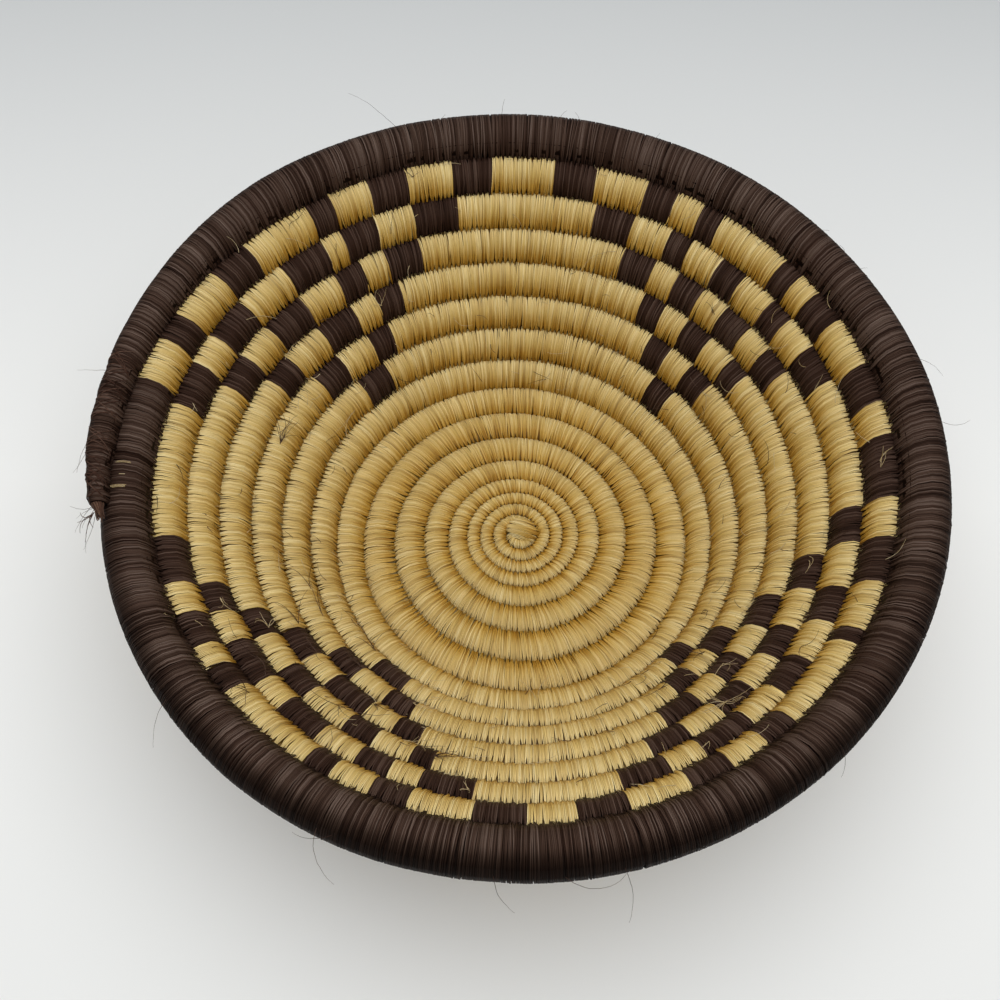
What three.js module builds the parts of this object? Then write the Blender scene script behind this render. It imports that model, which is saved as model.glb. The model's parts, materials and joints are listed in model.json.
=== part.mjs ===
// Coiled basket bowl: one long grass bundle wound up in a spiral and wrapped with raffia in two colours.
// Millimetres, +Z up. The bowl stands on z = 0, and the origin is under the middle of its outline.
import * as THREE from 'three';

// Bowl profile, along the middle of a base coil
const BASE_RADIUS = 52.5;
const KNUCKLE_RADIUS = 20;
const WALL_ANGLE = 48;

// Coil thickness along the spiral
const COIL_START = 4.6;
const COIL_BASE = 10.8;
const COIL_WALL = 12.3;
const COIL_RIM = 13.7;
const COIL_TAIL = 6.5;

// Turns, counted from the middle of the base: where the coil starts, swells and ends
const FIRST_TURN = 1.1;
const SWELL_FROM = 3.5;
const SWELL_TURNS = 3;
const BASE_TURNS = 8;
const KNUCKLE_TURNS = 1.5;
const RIM_SWELL_TURNS = 0.3;
const TAPER_TURNS = 0.12;
const LAST_TURN = 16.54;
const TUFT_LENGTH = 5;

// Coil section: a hexagon on its side, with the wrap round a four-sided bundle
const FLATNESS = 0.9;
const WRAP_WALL = 0.8;
const CARRIED_STRAND = 0.7;
const CARRIED_SHARE = 0.5;

// Clearances
const COIL_GAP = 0.4;
const STRAND_GAP = 0.3;
const COLOUR_GAP = 1.0;
const JOIN_GAP = 0.5;

// Knot in the middle of the base: the way it points, in degrees, and its clearance to the first turn
const KNOT_HEADING = 165;
const KNOT_GAP = 0.5;
const KNOT_SEGMENTS = 12;

// Steps in one turn of the coil, and the turn from which they are fine
const COARSE_STEPS = 10;
const FINE_STEPS = 20;
const FINE_FROM = 5;

// Rows of the pattern, each one turn of the wall. A row starts on the left, at ROW_START degrees.
// Each list has the degrees at which its brown blocks start and end, counted on from the row's start.
const ROW_START = 180;
const FIRST_ROW = 9;
const TRIANGLE_ROWS = [
  { front_left: [230, 240], front_right: [315, 321.5], back_right: [403, 410], back_left: [490.5, 499.5] },
  {
    front_left: [222.5, 230.5, 239.5, 246.5],
    front_right: [308.5, 314.5, 321, 328.5],
    back_right: [396.5, 403.5, 410, 416],
    back_left: [485, 491, 500, 508],
  },
  {
    front_left: [215, 222.5, 229.5, 239.5, 246, 251.5],
    front_right: [301, 309, 315.5, 322, 329.5, 337.5],
    back_right: [391.5, 396.5, 403.5, 410, 416, 421.5],
    back_left: [479, 485, 491, 500, 509.5, 516],
  },
  {
    front_left: [209.5, 215.5, 223.5, 230, 239, 245, 252, 256],
    front_right: [294.5, 302, 309, 316, 323, 330, 338.5, 346],
    back_right: [386, 392, 398, 404.5, 410.5, 416.5, 422, 429],
    back_left: [472, 479.5, 485, 491, 499.5, 508.5, 516, 523],
  },
  {
    front_left: [204, 210, 216, 224.5, 230, 238, 245, 250.5, 255.5, 264],
    front_right: [287, 295, 301, 310, 317, 324, 331.5, 338.5, 347, 354],
    back_right: [379, 386.5, 393, 398, 405, 410.5, 417, 421.5, 429, 436.5],
    back_left: [463, 471.5, 479, 486, 490, 499, 509, 517, 523, 531.5],
  },
];
const TOP_ROW = [
  196, 204.5, 210, 216, 220, 224.5, 240, 244, 250, 255.5, 264.5, 272, 279, 286.5, 295.5, 302, 308, 313,
  328, 330.5, 339, 347, 354, 365, 371, 378, 387, 393, 397, 401, 414, 418, 423, 428.5, 437.5, 445,
  456, 463, 471, 478, 485, 489.5, 502, 509, 518, 523,
];
const RIM_START = 530.5;

// Finish
const NATURAL_COLOUR = 0xc8a663;
const BROWN_COLOUR = 0x33241d;
const GRASS_COLOUR = 0xa98f58;
const RAFFIA_ROUGHNESS = 0.75;
const GRASS_ROUGHNESS = 0.9;

const FULL_TURN = 360;
const HALF_TURN = 0.5;
const radians = THREE.MathUtils.degToRad;
const wallAngle = radians(WALL_ANGLE);
const topRowIndex = FIRST_ROW + TRIANGLE_ROWS.length;
const turnAt = (row, degrees) => row + degrees / FULL_TURN;
const rimTurn = turnAt(topRowIndex, RIM_START);

// Thickness of the coil at each turn, straight between these places
const THICKNESS = [
  [SWELL_FROM, COIL_START],
  [SWELL_FROM + SWELL_TURNS, COIL_BASE],
  [BASE_TURNS, COIL_BASE],
  [BASE_TURNS + KNUCKLE_TURNS, COIL_WALL],
  [rimTurn - RIM_SWELL_TURNS / 2, COIL_WALL],
  [rimTurn + RIM_SWELL_TURNS / 2, COIL_RIM],
  [LAST_TURN - TAPER_TURNS, COIL_RIM],
  [LAST_TURN, COIL_TAIL],
];

function thickness(turn) {
  const next = THICKNESS.findIndex(([place]) => place > turn);
  if (next === 0) return COIL_START;
  if (next < 0) return COIL_TAIL;
  const [from, thin] = THICKNESS[next - 1];
  const [to, thick] = THICKNESS[next];
  return thin + ((thick - thin) * (turn - from)) / (to - from);
}

// Half the width of a coil
const halfWidth = (turn) => (thickness(turn) - COIL_GAP) / 2;
const baseHalfWidth = (COIL_BASE - COIL_GAP) / 2;

// Distance along the profile of a turn's inner edge: each turn lies against the one inside it
function innerEdge(turn) {
  if (turn < 1) return COIL_START * (turn - HALF_TURN);
  return innerEdge(turn - 1) + thickness(turn - 1);
}

// Point of the profile at a distance from the middle, with its slope
function profileAt(distance) {
  const height = FLATNESS * baseHalfWidth;
  if (distance < BASE_RADIUS) return { radius: distance, height, slope: 0 };
  const slope = Math.min((distance - BASE_RADIUS) / KNUCKLE_RADIUS, wallAngle);
  const straight = distance - BASE_RADIUS - slope * KNUCKLE_RADIUS;
  return {
    radius: BASE_RADIUS + KNUCKLE_RADIUS * Math.sin(slope) + straight * Math.cos(slope),
    height: height + KNUCKLE_RADIUS * (1 - Math.cos(slope)) + straight * Math.sin(slope),
    slope,
  };
}

// Place of a section's point at one of the coil's steps: across runs along the profile, up is inwards.
// The inner faces of all coils lie flush, so a thin coil is lifted and a thick one lowered. No coil
// reaches below the flats that the bowl stands on.
function placeOnStep(turn, [across, up]) {
  const { radius, height, slope } = profileAt(innerEdge(turn) + thickness(turn) / 2);
  const lifted = up + FLATNESS * (baseHalfWidth - halfWidth(turn));
  const reach = radius + across * Math.cos(slope) - lifted * Math.sin(slope);
  const rise = height + across * Math.sin(slope) + lifted * Math.cos(slope);
  const angle = radians(FULL_TURN * turn);
  return new THREE.Vector3(reach * Math.cos(angle), reach * Math.sin(angle), Math.max(rise, 0));
}

// Steps of the whole coil
const steps = [FIRST_TURN];
for (let i = 0; i < FINE_FROM * COARSE_STEPS; i += 1) {
  if (i / COARSE_STEPS > FIRST_TURN) steps.push(i / COARSE_STEPS);
}
for (let i = FINE_FROM * FINE_STEPS; i / FINE_STEPS < LAST_TURN; i += 1) steps.push(i / FINE_STEPS);
steps.push(LAST_TURN);

// A section at any turn: between two steps the coil is straight
function sectionAt(turn, shape) {
  const next = turn < LAST_TURN ? steps.findIndex((step) => step > turn) : steps.length - 1;
  const [from, to] = [steps[next - 1], steps[next]];
  const ends = shape(to).map((point) => placeOnStep(to, point));
  const share = (turn - from) / (to - from);
  return shape(from).map((point, i) => placeOnStep(from, point).lerp(ends[i], share));
}

const stepsBetween = (from, to) => steps.filter((step) => step > from && step < to);

// Outside of the wrap: a hexagon with its flats to the inside and the outside of the bowl
function wrapOutside(turn) {
  const half = halfWidth(turn);
  const flat = FLATNESS * half;
  return [[half, 0], [half / 2, flat], [-half / 2, flat], [-half, 0], [-half / 2, -flat], [half / 2, -flat]];
}

// Bore of the wrap: four sides, one corner to each flat
const boreWidth = (turn) => halfWidth(turn) - WRAP_WALL;
const boreHeight = (turn) => FLATNESS * halfWidth(turn) - WRAP_WALL;

function wrapBore(turn) {
  const [wide, high] = [boreWidth(turn), boreHeight(turn)];
  return [[wide, 0], [0, high], [-wide, 0], [0, -high]];
}

// Grass bundle: clear of the bore, and drawn in on its two outer sides where strands are carried
function bundle(turn) {
  const [wide, high] = [boreWidth(turn), boreHeight(turn)];
  const side = Math.hypot(wide, high);
  const upper = (wide * high) / side - STRAND_GAP;
  const patterned = turn >= turnAt(FIRST_ROW, ROW_START) && turn <= rimTurn;
  const lower = patterned ? upper - CARRIED_STRAND - STRAND_GAP : upper;
  const corner = (side * (upper + lower)) / (2 * high);
  const lift = (side * (upper - lower)) / (2 * wide);
  return [[corner, lift], [0, (side * upper) / wide], [-corner, lift], [0, (-side * lower) / wide]];
}

// Strand carried along the bundle, inside the other colour's wrap. hand is 1 on the rim's side of the
// coil and -1 on the base's side.
function carriedStrand(turn, hand) {
  const [wide, high] = [boreWidth(turn), boreHeight(turn)];
  const side = Math.hypot(wide, high);
  const along = CARRIED_SHARE / 2;
  const corner = (reach, depth) => [
    hand * (wide / 2 + wide * reach - (high / side) * depth),
    -high / 2 + high * reach + (wide / side) * depth,
  ];
  const bottom = STRAND_GAP + CARRIED_STRAND;
  return [corner(-along, STRAND_GAP), corner(along, STRAND_GAP), corner(along, bottom), corner(-along, bottom)];
}

// The two colours: where each strand dives under the other, as corners of the wrap's end face, written
// from the outer flat round to the side and back along the bore
const NATURAL = { color: NATURAL_COLOUR, hand: 1, dive: [5, 0, 6, 9] };
const BROWN = { color: BROWN_COLOUR, hand: -1, dive: [4, 3, 8, 9] };
const OUTSIDE_CORNERS = 6;
const SECTION_CORNERS = 10;
const WRAP_END = [
  [0, 1, 7, 6],
  [1, 2, 7],
  [2, 3, 8, 7],
  [3, 4, 9, 8],
  [4, 5, 9],
  [5, 0, 6, 9],
];

class Facets {
  constructor() {
    this.points = [];
    this.faces = [];
  }

  addRing(ring) {
    const first = this.points.length;
    this.points.push(...ring);
    return ring.map((_, i) => first + i);
  }

  addFace(corners) {
    for (let i = 2; i < corners.length; i += 1) this.faces.push(corners[0], corners[i - 1], corners[i]);
  }

  // Sides of a tube between two rings, whose corners run anticlockwise when across is to the right
  addSides(ring, next) {
    ring.forEach((corner, i) => {
      const j = (i + 1) % ring.length;
      this.addFace([corner, next[i], next[j], ring[j]]);
    });
  }

  geometry() {
    const geometry = new THREE.BufferGeometry().setFromPoints(this.points);
    geometry.setIndex(this.faces);
    geometry.computeVertexNormals();
    return geometry;
  }
}

const mesh = (name, geometry, color, roughness) => {
  const made = new THREE.Mesh(geometry, new THREE.MeshStandardMaterial({ color, roughness, metalness: 0 }));
  made.name = name;
  return made;
};

// One strand wound round the bundle in blocks, each from one turn to another. Between two blocks the
// strand is carried under the other colour, so it is one unbroken piece.
function woundStrand(name, blocks, strand) {
  const facets = new Facets();
  const isDive = (corners) => strand.dive.every((corner) => corners.includes(corner));
  const addEnd = (section, joined, reversed) => {
    WRAP_END.filter((corners) => !(joined && isDive(corners))).forEach((corners) => {
      const face = corners.map((corner) => section[corner]);
      facets.addFace(reversed ? face.reverse() : face);
    });
  };
  const addTube = (rings) => rings.slice(1).forEach((ring, i) => facets.addSides(rings[i], ring));
  const orient = (ring) => (strand.hand > 0 ? ring : [...ring].reverse());
  let dive = null;
  let diveTurn = 0;
  blocks.forEach(([from, to], index) => {
    const turns = [from, ...stepsBetween(from, to), to];
    const sections = turns.map((turn) => (
      facets.addRing([...sectionAt(turn, wrapOutside), ...sectionAt(turn, wrapBore)])
    ));
    addTube(sections.map((section) => section.slice(0, OUTSIDE_CORNERS)));
    addTube(sections.map((section) => section.slice(OUTSIDE_CORNERS, SECTION_CORNERS).reverse()));
    addEnd(sections[0], index > 0, false);
    addEnd(sections[sections.length - 1], index < blocks.length - 1, true);
    const mouth = (section) => strand.dive.map((corner) => section[corner]);
    if (dive) {
      const start = diveTurn + colourStep(diveTurn);
      const end = from - colourStep(from);
      const carried = [start, ...stepsBetween(start, end), end].map((turn) => (
        facets.addRing(sectionAt(turn, (at) => carriedStrand(at, strand.hand)))
      ));
      addTube([dive, ...carried, mouth(sections[0])].map(orient));
    }
    dive = mouth(sections[sections.length - 1]);
    diveTurn = to;
  });
  return mesh(name, facets.geometry(), strand.color, RAFFIA_ROUGHNESS);
}

// Gaps along the coil, as a part of a turn at that place
function alongCoil(turn, length) {
  const { radius } = profileAt(innerEdge(turn) + thickness(turn) / 2);
  return length / (2 * Math.PI * radius);
}
const colourStep = (turn) => alongCoil(turn, COLOUR_GAP);

// Blocks between the places where the colour changes, each drawn in by half a gap at its ends
function blocksBetween(changes) {
  const blocks = [];
  for (let i = 0; i < changes.length; i += 2) {
    const [from, to] = [changes[i], changes[i + 1]];
    blocks.push([from + colourStep(from) / 2, to - colourStep(to) / 2]);
  }
  return blocks;
}

const basket = new THREE.Group();

// Foundation: the unbroken grass bundle, from the middle of the base to the frayed end at the rim
function foundation() {
  const facets = new Facets();
  const rings = steps.map((turn) => facets.addRing(sectionAt(turn, bundle)));
  rings.slice(1).forEach((ring, i) => facets.addSides(rings[i], ring));
  facets.addFace(rings[0]);
  facets.addFace([...rings[rings.length - 1]].reverse());
  return { facets, rings };
}

function leastGapToItself({ facets, rings }) {
  let least = Infinity;
  rings.forEach((ring, i) => {
    const outward = rings.findIndex((_, j) => steps[j] > steps[i] + HALF_TURN);
    if (outward < 0) return;
    rings.slice(outward).flat().forEach((other) => {
      ring.forEach((corner) => {
        least = Math.min(least, facets.points[corner].distanceTo(facets.points[other]));
      });
    });
  });
  return least;
}

const grass = foundation();
console.log(`foundation coil: least gap to itself ${leastGapToItself(grass).toFixed(2)} mm`);
basket.add(mesh('foundation_coil', grass.facets.geometry(), GRASS_COLOUR, GRASS_ROUGHNESS));

// Knot: the wrapped start of the bundle, as large as the room inside the first turn
const knotRoom = (turn) => 2 * (innerEdge(turn) - KNOT_GAP);
const knot = new THREE.SphereGeometry(0.5, KNOT_SEGMENTS, KNOT_SEGMENTS / 2);
knot.rotateX(Math.PI / 2);
knot.scale(knotRoom(turnAt(1, KNOT_HEADING)), knotRoom(FIRST_TURN), COIL_START - COIL_GAP);
knot.rotateZ(radians(KNOT_HEADING));
const startKnot = mesh('start_knot', knot, NATURAL.color, RAFFIA_ROUGHNESS);
startKnot.position.z = placeOnStep(FIRST_TURN, [0, 0]).z;
basket.add(startKnot);

// Base: one length of natural wrap for each turn, up to the first row of the pattern
const rowTurn = (row) => turnAt(row, ROW_START);
const joinStep = (turn) => alongCoil(turn, JOIN_GAP) / 2;
for (let row = 1; row < FIRST_ROW; row += 1) {
  const from = row === 1 ? FIRST_TURN : rowTurn(row) + joinStep(rowTurn(row));
  const to = rowTurn(row + 1) - joinStep(rowTurn(row + 1));
  basket.add(woundStrand(`base_wrap_${row}`, [[from, to]], NATURAL));
}

// Pattern rows: the natural wrap of a whole turn, and the brown strands that take its place in blocks
const patternRows = [
  ...TRIANGLE_ROWS.map((triangles) => ({ strands: Object.entries(triangles) })),
  { strands: [['round', TOP_ROW]] },
];
patternRows.forEach(({ strands }, index) => {
  const row = FIRST_ROW + index;
  const number = index + 1;
  const isTop = row === topRowIndex;
  const start = rowTurn(row) + joinStep(rowTurn(row));
  const end = isTop ? rimTurn - colourStep(rimTurn) / 2 : rowTurn(row + 1) - joinStep(rowTurn(row + 1));
  const brown = strands.map(([place, degrees]) => {
    const blocks = blocksBetween(degrees.map((degree) => turnAt(row, degree)));
    basket.add(woundStrand(`brown_strand_${number}_${place}`, blocks, BROWN));
    return blocks;
  }).flat();
  const edges = [start];
  brown.forEach(([from, to]) => edges.push(from - colourStep(from), to + colourStep(to)));
  edges.push(end);
  const natural = [];
  for (let i = 0; i < edges.length; i += 2) natural.push([edges[i], edges[i + 1]]);
  basket.add(woundStrand(`row_wrap_${number}`, natural, NATURAL));
});

// Rim: the last turn, all brown, tapering to its end over the start of the same turn
const rimStart = rimTurn + colourStep(rimTurn) / 2;
const rimEnd = LAST_TURN - alongCoil(LAST_TURN, TUFT_LENGTH);
basket.add(woundStrand('rim_wrap', [[rimStart, rimEnd]], BROWN));

// The spiral is wider on one side, so the origin goes under the middle of the outline
const outline = new THREE.Box3().setFromObject(basket);
const middle = outline.getCenter(new THREE.Vector3());
basket.position.set(-middle.x, -middle.y, -outline.min.z);

export default basket;
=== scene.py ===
import json
import math
import random
import bmesh
import bpy
from mathutils import Matrix, Vector, noise

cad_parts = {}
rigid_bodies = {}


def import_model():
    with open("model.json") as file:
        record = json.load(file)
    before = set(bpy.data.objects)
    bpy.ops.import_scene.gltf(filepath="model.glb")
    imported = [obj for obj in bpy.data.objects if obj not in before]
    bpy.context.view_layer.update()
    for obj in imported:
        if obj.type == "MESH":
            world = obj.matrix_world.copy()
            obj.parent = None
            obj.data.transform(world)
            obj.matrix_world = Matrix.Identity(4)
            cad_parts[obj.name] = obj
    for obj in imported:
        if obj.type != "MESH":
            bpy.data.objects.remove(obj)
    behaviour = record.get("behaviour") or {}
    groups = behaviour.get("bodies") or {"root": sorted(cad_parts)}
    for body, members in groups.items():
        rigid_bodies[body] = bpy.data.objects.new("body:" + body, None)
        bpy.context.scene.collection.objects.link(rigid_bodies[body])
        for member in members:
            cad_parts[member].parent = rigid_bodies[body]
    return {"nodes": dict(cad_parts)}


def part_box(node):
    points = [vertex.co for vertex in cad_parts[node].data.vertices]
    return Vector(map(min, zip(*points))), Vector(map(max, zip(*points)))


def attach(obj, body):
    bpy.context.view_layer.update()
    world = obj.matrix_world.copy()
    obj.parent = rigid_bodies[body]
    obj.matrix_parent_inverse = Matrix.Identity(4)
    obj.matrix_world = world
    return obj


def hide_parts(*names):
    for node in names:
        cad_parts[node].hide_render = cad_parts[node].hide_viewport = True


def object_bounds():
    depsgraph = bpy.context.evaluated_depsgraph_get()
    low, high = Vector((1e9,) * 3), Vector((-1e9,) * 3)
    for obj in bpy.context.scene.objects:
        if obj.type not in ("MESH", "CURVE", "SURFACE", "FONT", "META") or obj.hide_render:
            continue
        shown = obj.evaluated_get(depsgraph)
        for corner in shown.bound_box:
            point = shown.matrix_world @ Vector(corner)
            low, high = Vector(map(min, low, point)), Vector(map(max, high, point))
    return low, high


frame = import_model()
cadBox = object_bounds()
print("basket: frame loaded with", len(frame["nodes"]), "nodes")

mm = 0.001
fullTurn = 360
up = Vector((0, 0, 1))


# The coil: one bundle wound up in a spiral, sizes in millimetres, places in turns from the middle
coil = {
    "baseRadius": 52.5, "kneeRadius": 20, "wallAngle": math.radians(48),
    "startSize": 4.6, "baseSize": 10.8, "wallSize": 12.3, "rimSize": 13.7,
    "firstTurn": 1.1, "swellFrom": 3.5, "swellTo": 6.5, "baseEnd": 8, "wallFrom": 9.5,
    "rimTurn": 14 + 530.5 / fullTurn, "rimSwell": 0.15, "lastTurn": 16.54,
    # the rim's end: turns and sizes, and how far it keeps to the inner side
    "taper": [(16.37, 13.7), (16.43, 11), (16.5, 8.2), (16.53, 6), (16.54, 4.1)], "taperFlush": 0.35,
    "nearSwell": 0.15, "nearTuck": 1.3,  # in front the rim is fuller, and the wall under it drawn in
    "gap": 0.4, "flatness": 0.9, "tuft": 5,  # the tuft is what the rim's wrap leaves bare
    "wander": 0.45, "wanderScale": 22, "wobble": 0.12, "wobbleScale": 90, "seed": 7,  # hand-made unevenness
    # the mouth isn't quite true: its height, how far it leans aside, and how oval it is
    "wallTop": 75, "mouthAside": (-1.64, -1.45), "mouthOval": (-0.0022, 0.0054),
    # both ends are rough: over how many turns, and by how much, and how askew and lumpy the stitches lie
    "roughEnd": 0.09, "roughStart": 3.2, "startShare": 0.42,
    "roughLean": math.radians(60), "roughScale": 260, "roughSwell": 0.36, "swellScale": 240,
    "baseLean": 3,  # how far the stitches slant, in degrees, and on the wall by direction
    "wallLean": [
        (0, 4), (40, 1), (80, 0), (120, -4), (160, 6), (205, 0), (235, 0), (290, -4), (320, 0), (350, 4),
    ],
}
noise.seed_set(coil["seed"])  # otherwise noise_vector starts from the clock
knotLow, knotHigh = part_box("start_knot")
axis = (knotLow + knotHigh) / 2  # the spiral turns round the knot
axis.z = 0

sizeStops = [
    (coil["swellFrom"], coil["startSize"]), (coil["swellTo"], coil["baseSize"]),
    (coil["baseEnd"], coil["baseSize"]), (coil["wallFrom"], coil["wallSize"]),
    (coil["rimTurn"] - coil["rimSwell"], coil["wallSize"]),
    (coil["rimTurn"] + coil["rimSwell"], coil["rimSize"]),
] + coil["taper"]


def coilSize(turn):
    before = sizeStops[0]
    for stop in sizeStops:
        if stop[0] > turn:
            share = (turn - before[0]) / max(stop[0] - before[0], 1e-9)
            return before[1] + (stop[1] - before[1]) * max(share, 0)
        before = stop
    return before[1]


def innerEdge(turn):
    if turn < 1:
        return coil["startSize"] * (turn - 0.5)
    return innerEdge(turn - 1) + coilSize(turn - 1)


def profileAt(distance):
    height = coil["flatness"] * (coil["baseSize"] - coil["gap"]) / 2
    past = distance - coil["baseRadius"]
    if past < 0:
        return distance, height, 0
    knee = coil["kneeRadius"]
    slope = min(past / knee, coil["wallAngle"])
    straight = past - slope * knee
    radius = coil["baseRadius"] + knee * math.sin(slope) + straight * math.cos(slope)
    return radius, height + knee * (1 - math.cos(slope)) + straight * math.sin(slope), slope


def leanAt(turn, slope):
    degrees = turn % 1 * fullTurn
    stops = coil["wallLean"]
    stops = stops + [(stops[0][0] + fullTurn, stops[0][1])]
    for (here, lean), (after, nextLean) in zip(stops, stops[1:]):
        if here <= degrees < after:
            lean += (nextLean - lean) * (degrees - here) / (after - here)
            break
    wallShare = slope / coil["wallAngle"]
    return math.radians(coil["baseLean"] + (lean - coil["baseLean"]) * wallShare)


def settle(point):  # towards the rim the bowl leans aside and grows oval, and its front is drawn in
    local = point - axis
    share = max(local.z / mm / coil["wallTop"], 0)
    angle = 2 * math.atan2(local.y, local.x)
    along, aslant = coil["mouthOval"]
    stretch = 1 + share * (along * math.cos(angle) + aslant * math.sin(angle))
    radius = max(math.hypot(local.x, local.y), mm)
    stretch -= coil["nearTuck"] * mm * max(-local.y / radius, 0) * share ** 3 / radius
    aside = Vector((*coil["mouthAside"], 0)) * share * mm
    return axis + Vector((local.x * stretch, local.y * stretch, local.z)) + aside


def roughAt(turn):
    start = coil["startShare"] * max(1 - (turn - 1) / coil["roughStart"], 0)
    return max(1 - (coil["lastTurn"] - turn) / coil["roughEnd"], start, 0)


def coilPlace(turn):
    plain = coilSize(turn)
    near = max(-math.sin(math.tau * turn), 0) if turn > coil["rimTurn"] else 0
    size = plain * (1 + coil["nearSwell"] * near)
    radius, height, slope = profileAt(innerEdge(turn) + size / 2)
    outward = Vector((math.cos(math.tau * turn), math.sin(math.tau * turn), 0))
    across = outward * math.cos(slope) + up * math.sin(slope)
    normal = up * math.cos(slope) - outward * math.sin(slope)
    if turn > coil["taper"][0][0]:
        plain = coil["rimSize"] + (plain - coil["rimSize"]) * coil["taperFlush"]
    lift = coil["flatness"] * (coil["baseSize"] - plain) / 2  # inner faces lie flush
    centre = settle(axis + (outward * radius + up * height + normal * lift) * mm)
    sway = noise.noise_vector(centre * coil["wanderScale"]) * coil["wander"]
    sway += noise.noise_vector(centre * coil["wobbleScale"]) * coil["wobble"]
    sway.z = max(sway.z, 0) if slope == 0 else sway.z  # nothing sinks below the flats it stands on
    centre += sway * mm
    high = coil["flatness"] * (size - coil["gap"]) / 2
    rough = roughAt(turn)
    swell = 1 + rough * coil["roughSwell"] * noise.noise(centre * coil["swellScale"])
    askew = rough * coil["roughLean"] * noise.noise(centre * coil["roughScale"])
    return {
        "centre": centre, "across": across, "normal": normal, "lean": leanAt(turn, slope) + askew,
        "wide": size / 2 * swell * mm, "high": high * swell * mm,
    }


def onCoil(turn, angle, lift=1):  # a point on the wrapped coil, the angle counted from its outer side
    place = coilPlace(turn)
    aside = place["across"] * math.cos(angle) * place["wide"]
    return place["centre"] + (aside + place["normal"] * math.sin(angle) * place["high"]) * lift


def turnShare(length, turn):  # a length along the coil, in turns
    return length / (math.tau * profileAt(innerEdge(turn) + coilSize(turn) / 2)[0])


# Small helpers for node trees
def plug(tree, value, socket):
    if isinstance(value, bpy.types.NodeSocket):
        tree.links.new(value, socket)
    else:
        socket.default_value = value


def addNode(tree, kind, settings=None, **inputs):
    made = tree.nodes.new(kind)
    for name, value in (settings or {}).items():
        setattr(made, name, value)
    for name, value in inputs.items():
        wanted = name.replace("_", " ")
        plug(tree, value, next(s for s in made.inputs if s.enabled and s.name == wanted))
    return made


def result(made, name=None):
    return next(s for s in made.outputs if s.enabled and name in (None, s.name))


def inOrder(tree, kind, settings, values):  # a node whose sockets are filled one after the other
    made = addNode(tree, kind, settings)
    for value, socket in zip(values, [s for s in made.inputs if s.enabled]):
        plug(tree, value, socket)
    return result(made)


def maths(tree, operation, *values):
    return inOrder(tree, "ShaderNodeMath", {"operation": operation}, values)


def vectors(tree, operation, *values):
    return inOrder(tree, "ShaderNodeVectorMath", {"operation": operation}, values)


def mapRange(tree, value, settings=None, **ends):
    return result(addNode(tree, "ShaderNodeMapRange", settings, Value=value, **ends))


def splitUp(tree, vector):
    return addNode(tree, "ShaderNodeSeparateXYZ", Vector=vector).outputs


def chance(tree, low, high, seed, who):
    return result(addNode(tree, "FunctionNodeRandomValue", Min=low, Max=high, Seed=seed, ID=who))


def attributeOf(tree, name, kind="FLOAT"):
    return result(addNode(tree, "GeometryNodeInputNamedAttribute", {"data_type": kind}, Name=name))


def keepAttribute(tree, geometry, name, value, kind, domain):
    settings = {"data_type": kind, "domain": domain}
    stored = addNode(
        tree, "GeometryNodeStoreNamedAttribute", settings, Geometry=geometry, Name=name, Value=value
    )
    return result(stored)


def roundRing(tree, sides, share):
    ring = addNode(tree, "GeometryNodeCurvePrimitiveCircle", Resolution=sides, Radius=1.0)
    return keepAttribute(tree, result(ring), "round", share, "FLOAT", "POINT")


def tubeLoop(tree, tube):  # along and round a tube, where the finishes look for it
    place = addNode(tree, "ShaderNodeCombineXYZ", X=attributeOf(tree, "share"), Y=attributeOf(tree, "round"))
    return keepAttribute(tree, tube, "loop", result(place), "FLOAT2", "CORNER")


def newTree(name, sockets):
    tree = bpy.data.node_groups.new(name, "GeometryNodeTree")
    for label, kind in sockets.items():
        tree.interface.new_socket(label, in_out="INPUT", socket_type="NodeSocket" + kind)
    tree.interface.new_socket("Geometry", in_out="OUTPUT", socket_type="NodeSocketGeometry")
    return tree, tree.nodes.new("NodeGroupInput").outputs


def endTree(tree, geometry, material):
    smooth = result(addNode(tree, "GeometryNodeSetShadeSmooth", Geometry=geometry, Shade_Smooth=True))
    real = result(addNode(tree, "GeometryNodeRealizeInstances", Geometry=smooth))
    dressed = addNode(tree, "GeometryNodeSetMaterial", Geometry=real, Material=material)
    plug(tree, result(dressed), tree.nodes.new("NodeGroupOutput").inputs[0])
    return tree


def addObject(name, data):
    made = bpy.data.objects.new(name, data)
    bpy.context.scene.collection.objects.link(made)
    return made


def runTree(name, mesh, tree, values):
    piece = addObject(name, mesh)
    modifier = piece.modifiers.new("nodes", "NODES")
    modifier.node_group = tree
    for socket in tree.interface.items_tree:
        if socket.in_out == "INPUT" and socket.name in values:
            modifier[socket.identifier] = values[socket.name]
    graph = bpy.context.evaluated_depsgraph_get()
    made = bpy.data.meshes.new_from_object(
        piece.evaluated_get(graph), preserve_all_data_layers=True, depsgraph=graph
    )
    piece.modifiers.clear()
    piece.data = made
    made.name = name
    bpy.data.meshes.remove(mesh)
    return piece


# Raffia and grass finishes
fibreFinish = {"apart": 71, "bumpDepth": 0.1}  # no two fibres share their streaks; depth in millimetres


def shaderTree(name):
    material = bpy.data.materials.new(name)
    material.use_nodes = True
    tree = material.node_tree
    shader = next(n for n in tree.nodes if n.type == "BSDF_PRINCIPLED")
    return material, tree, shader


def colourRamp(tree, factor, stops):
    ramp = tree.nodes.new("ShaderNodeValToRGB")
    for place, colour in stops[1:-1]:
        ramp.color_ramp.elements.new(place)
    for element, (place, colour) in zip(ramp.color_ramp.elements, stops):
        element.position = place
        element.color = (*colour, 1)
    plug(tree, factor, ramp.inputs["Fac"])
    return ramp.outputs["Color"]


def mixColour(tree, blend, *values):  # the factor and two colours
    return inOrder(tree, "ShaderNodeMix", {"data_type": "RGBA", "blend_type": blend}, values)


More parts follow.
